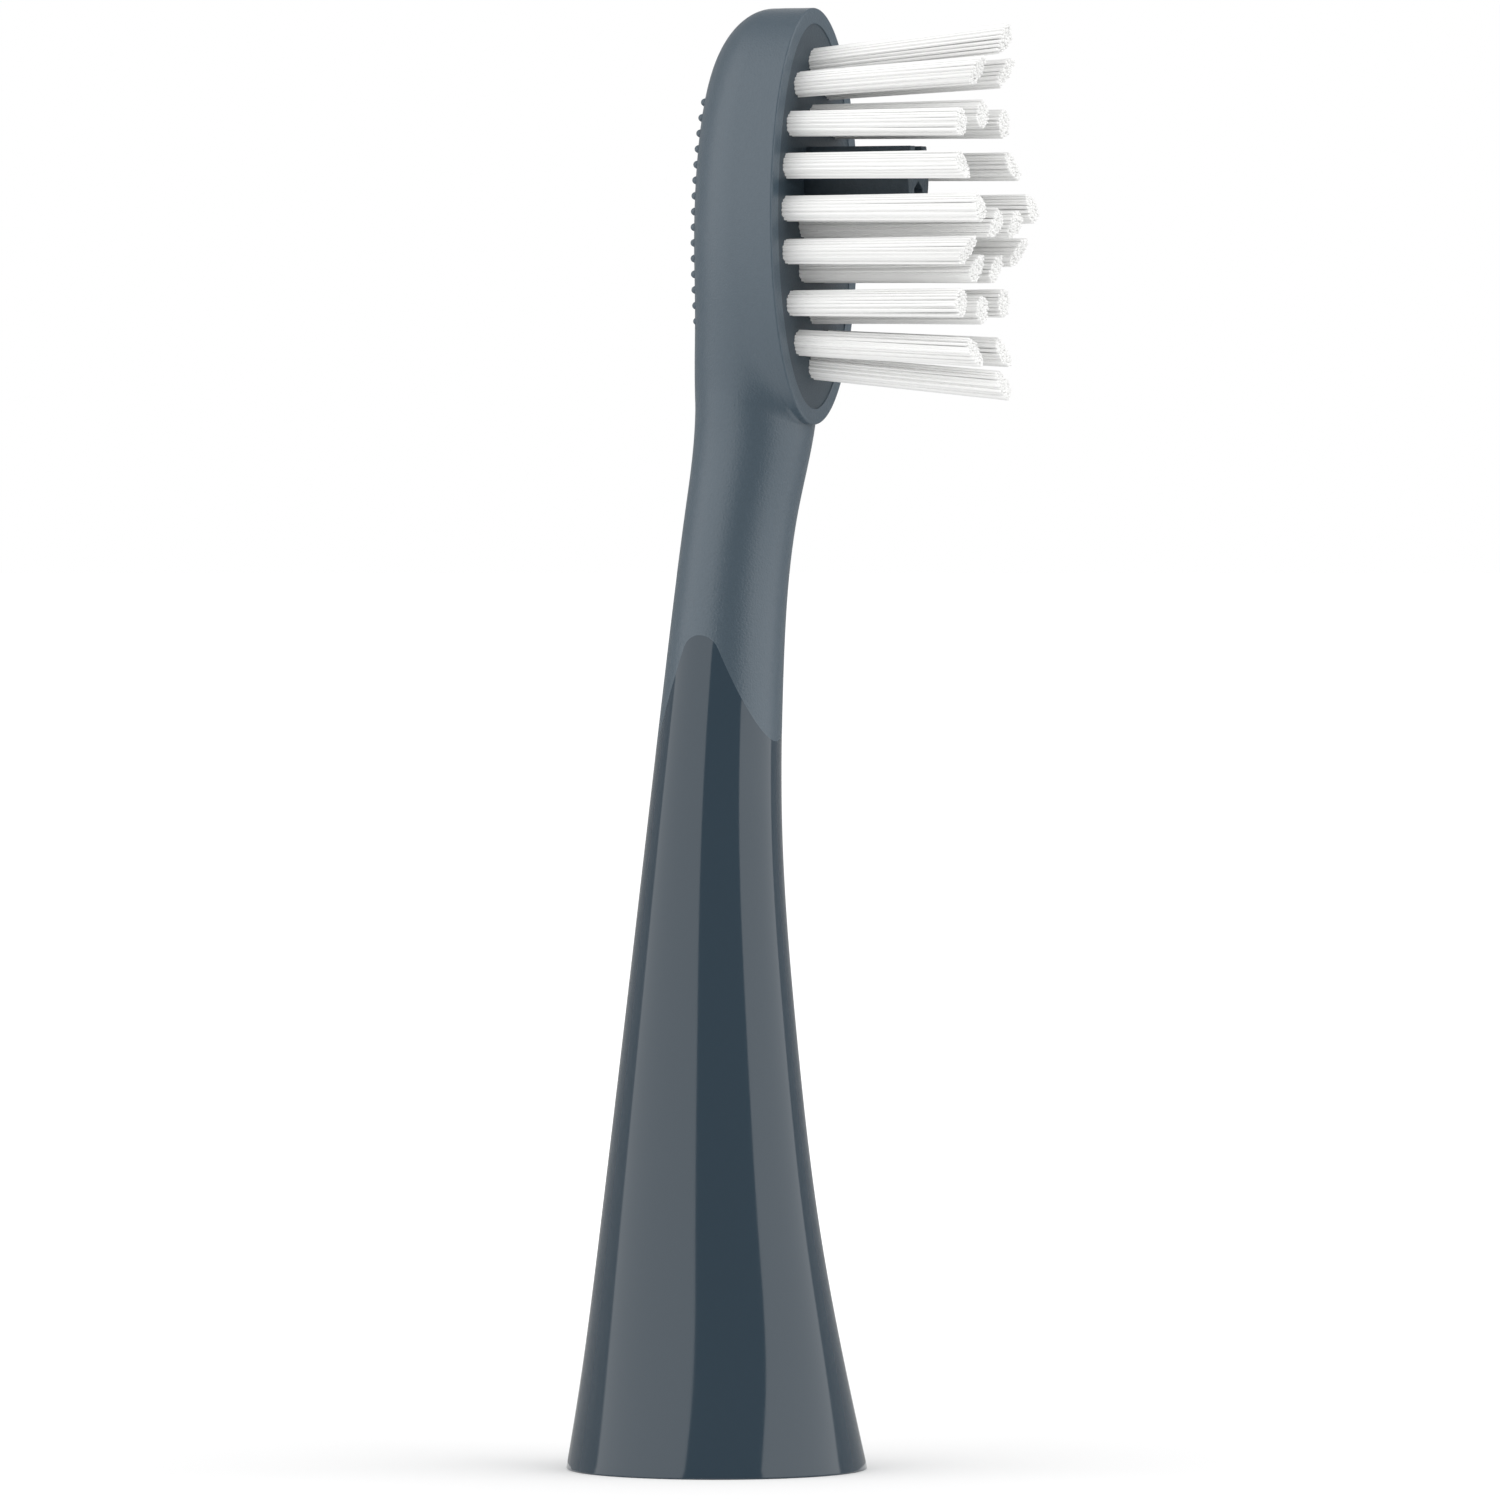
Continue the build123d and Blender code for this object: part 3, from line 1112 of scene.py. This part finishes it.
@dataclass
class Studio:
    """Pale floor, white surroundings, two softboxes, dark flats and the camera."""

    azimuth: float = -64.0
    aim_right: float = 1.765
    aim_height: float = 38.16
    camera_distance: float = 700.0
    camera_rise: float = 14.9
    focal_length: float = 316.8
    sensor_width: float = 36.0
    clip_start: float = 10.0
    clip_end: float = 100000.0
    softboxes: tuple[Softbox, ...] = (
        Softbox("left_softbox", near_degrees=-27, far_degrees=-108, radiance=0.76),
        Softbox("right_softbox", near_degrees=35, far_degrees=109, radiance=0.94),
    )
    fill: float = 0.95
    # The flats' low part starts this near the drive axis: painted shadow that the standing rim
    # mirrors as a dark contact line.
    flat_foot: float = 9.0
    flat_reach: float = 200.0
    flat_height: float = 1000.0
    flat_lift: float = 0.2
    flat_back: float = 176.0
    flat_columns: int = 33
    floor_rings: tuple[float, ...] = (6000.0, 400.0, 60.0, 0.0)
    floor_columns: int = 97
    floor_colour: str = "#ebebeb"
    floor_roughness: float = 0.9
    floor_glow: float = 0.05
    floor_white: float = 0.3
    floor_near: float = 30.0
    floor_far: float = 200.0

    def toward(self, degrees: float) -> Vector:
        """Level direction from the object, by its angle to the right of the camera.

        Args:
            degrees: Angle as the camera sees it, to the right.

        Returns:
            A unit vector.
        """
        turn = np.radians(self.azimuth + degrees)
        return Vector((np.sin(turn), -np.cos(turn), 0))

    def camera(self) -> None:
        """Add the camera, far off with a long lens, so that it sees almost without perspective."""
        right = self.toward(90)
        aim = (right * self.aim_right + Vector((0, 0, self.aim_height))) * MM
        lens = bpy.data.cameras.new("camera")
        lens.lens = self.focal_length
        lens.sensor_width = self.sensor_width
        lens.clip_start = self.clip_start * MM
        lens.clip_end = self.clip_end * MM
        camera = bpy.data.objects.new("camera", lens)
        away = (self.toward(0) * self.camera_distance + Vector((0, 0, self.camera_rise))) * MM
        camera.location = aim + away
        camera.rotation_euler = (-away).to_track_quat("-Z", "Y").to_euler()
        bpy.context.scene.collection.objects.link(camera)
        bpy.context.scene.camera = camera

    def lamp(self, box: Softbox) -> None:
        """Add one softbox as an area lamp whose two edges lie at its angles.

        Args:
            box: The softbox.
        """
        half = np.radians(abs(box.far_degrees - box.near_degrees) / 2)
        width = 2 * box.distance * np.tan(half) * MM
        light = bpy.data.lights.new(box.name, "AREA")
        light.shape = "RECTANGLE"
        light.size = width
        light.size_y = box.height * MM
        light.energy = box.radiance * np.pi * light.size * light.size_y
        lamp = bpy.data.objects.new(box.name, light)
        direction = self.toward((box.near_degrees + box.far_degrees) / 2)
        lamp.location = direction * box.distance * MM + Vector((0, 0, box.middle * MM))
        lamp.rotation_euler = direction.to_track_quat("Z", "Y").to_euler()
        lamp.visible_camera = False
        bpy.context.scene.collection.objects.link(lamp)

    def shown(self, tree: bpy.types.NodeTree) -> bpy.types.NodeSocket:
        """Add a switch that is on where the camera, a mirror or glass sees the surroundings.

        Args:
            tree: Node tree that receives the switch.

        Returns:
            A socket with 1 for rays that show something and 0 for rays that only light it.
        """
        path = add_node(tree, "ShaderNodeLightPath")
        shown = path.outputs["Is Camera Ray"]
        for ray in ("Is Glossy Ray", "Is Transmission Ray"):
            both = add_node(
                tree, "ShaderNodeMath", links={0: shown, 1: path.outputs[ray]}, operation="MAXIMUM"
            )
            shown = both.outputs[0]
        return shown

    def surround(self) -> None:
        """White surroundings for what is seen and mirrored, a little weaker for what is only lit."""
        world = bpy.data.worlds.new("white_surround")
        bpy.context.scene.world = world
        world.use_nodes = True
        tree = world.node_tree
        tree.nodes.clear()
        strength = add_node(
            tree,
            "ShaderNodeMapRange",
            links={"Value": self.shown(tree)},
            values={"To Min": self.fill, "To Max": 1.0},
        )
        light = add_node(
            tree,
            "ShaderNodeBackground",
            links={"Strength": strength.outputs["Result"]},
            values={"Color": (1, 1, 1, 1)},
        )
        add_node(tree, "ShaderNodeOutputWorld", links={"Surface": light.outputs[0]})

    def standing(
        self, name: str, points: Array, material: bpy.types.Material
    ) -> bpy.types.Object:
        """Add a piece of the studio from one grid of points.

        Args:
            name: Name of the piece.
            points: Its points as (rows, columns, 3), in millimetres.
            material: What it is made of.

        Returns:
            The new object.
        """
        skin = Surface.grid(points)
        mesh = bpy.data.meshes.new(name)
        mesh.from_pydata(skin.points * MM, [], skin.faces.tolist())
        mesh.materials.append(material)
        piece = bpy.data.objects.new(name, mesh)
        bpy.context.scene.collection.objects.link(piece)
        return piece

    def flat(self, name: str, first: float, last: float, cloth: Finish) -> None:
        """Add a dark flat, a curved wall that keeps the white surroundings out of the gloss.

        Its rows are arcs about the drive axis: near and low, far and low, far and high. The low part
        lies just above the floor from beside the standing rim, so the rim mirrors it as a dark line:
        a painted contact shadow in the reflection.

        Args:
            name: Name of the flat.
            first: Angle of its first edge to the right of the camera.
            last: Angle of its last edge.
            cloth: What covers it.
        """
        angle = np.radians(self.azimuth + np.linspace(first, last, self.flat_columns))
        height = np.array([self.flat_lift, self.flat_lift, self.flat_height])[:, None]
        reach = np.array([self.flat_foot, self.flat_reach, self.flat_reach])[:, None]
        x, y = reach * np.sin(angle), -reach * np.cos(angle)
        wall = np.stack([x, y, height + 0 * angle], axis=-1)
        flat = self.standing(name, wall, cloth.material())
        flat.visible_camera = False
        flat.visible_diffuse = False
        flat.visible_shadow = False

    def paper(self) -> bpy.types.Material:
        """Make the floor's paper, which glows a little more the further off it lies.

        Returns:
            The finished material.
        """
        # Uncoated paper: pale and dead matt, so that only the shadow shows on it.
        material = bpy.data.materials.new("white_paper")
        material.use_nodes = True
        tree = material.node_tree
        tree.nodes.clear()
        place = add_node(tree, "ShaderNodeTexCoord")
        away = add_node(
            tree,
            "ShaderNodeVectorMath",
            links={0: place.outputs["Object"]},
            operation="LENGTH",
        )
        whiter = add_node(
            tree,
            "ShaderNodeMapRange",
            links={"Value": away.outputs["Value"]},
            values={
                "From Min": self.floor_near * MM,
                "From Max": self.floor_far * MM,
                "To Min": self.floor_glow,
                "To Max": self.floor_white,
            },
        )
        glow = add_node(
            tree,
            "ShaderNodeMath",
            links={0: self.shown(tree), 1: whiter.outputs["Result"]},
            operation="MULTIPLY",
        )
        shader = add_node(
            tree,
            "ShaderNodeBsdfPrincipled",
            links={"Emission Strength": glow.outputs[0]},
            values={
                "Base Color": linear(self.floor_colour),
                "Roughness": self.floor_roughness,
                "Specular IOR Level": 0.0,
                "Emission Color": (1, 1, 1, 1),
            },
        )
        add_node(tree, "ShaderNodeOutputMaterial", links={"Surface": shader.outputs["BSDF"]})
        return material

    def floor(self) -> None:
        """Add a round pale floor that keeps the shadow, from level rings about the drive axis."""
        turn = np.linspace(0, 2 * np.pi, self.floor_columns)
        ring = np.array(self.floor_rings)[:, None]
        x, y = ring * np.cos(turn), ring * np.sin(turn)
        floor = self.standing("floor", np.stack([x, y, 0 * x], axis=-1), self.paper())

    def build(self) -> None:
        """Set up the whole studio."""
        self.surround()
        self.floor()
        left, right = self.softboxes
        self.flat("front_flat", left.near_degrees, right.near_degrees, BLACK_FELT)
        self.flat("left_flat", -self.flat_back, left.far_degrees, GREY_FELT)
        self.flat("right_flat", right.far_degrees, self.flat_back, GREY_FELT)
        for box in self.softboxes:
            self.lamp(box)
        self.camera()
        bpy.context.scene.view_settings.view_transform = "Standard"


def main() -> None:
    """Build the pieces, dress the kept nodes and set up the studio."""
    logging.basicConfig(level=logging.INFO, format="%(message)s")
    body = BrushBody()
    pieces = [body.skirt(), body.sleeve(), body.plate(), NubField(body).build()]
    pieces += Tufts(body.head).build()
    pieces.append(PolishingFins(body.head).build())
    kept = (
        CarriedNode("drive_socket", SOCKET),
        CarriedNode("retaining_spring", SPRING),
        CarriedNode("tuft_anchors", ANCHOR),
    )
    pieces += [node.dress() for node in kept]
    for piece in pieces:
        mesh = piece.data
        log.info("%s: %d faces, %s", piece.name, len(mesh.polygons), mesh.materials[0].name)
    Studio().build()


if __name__ == "__main__":
    main()
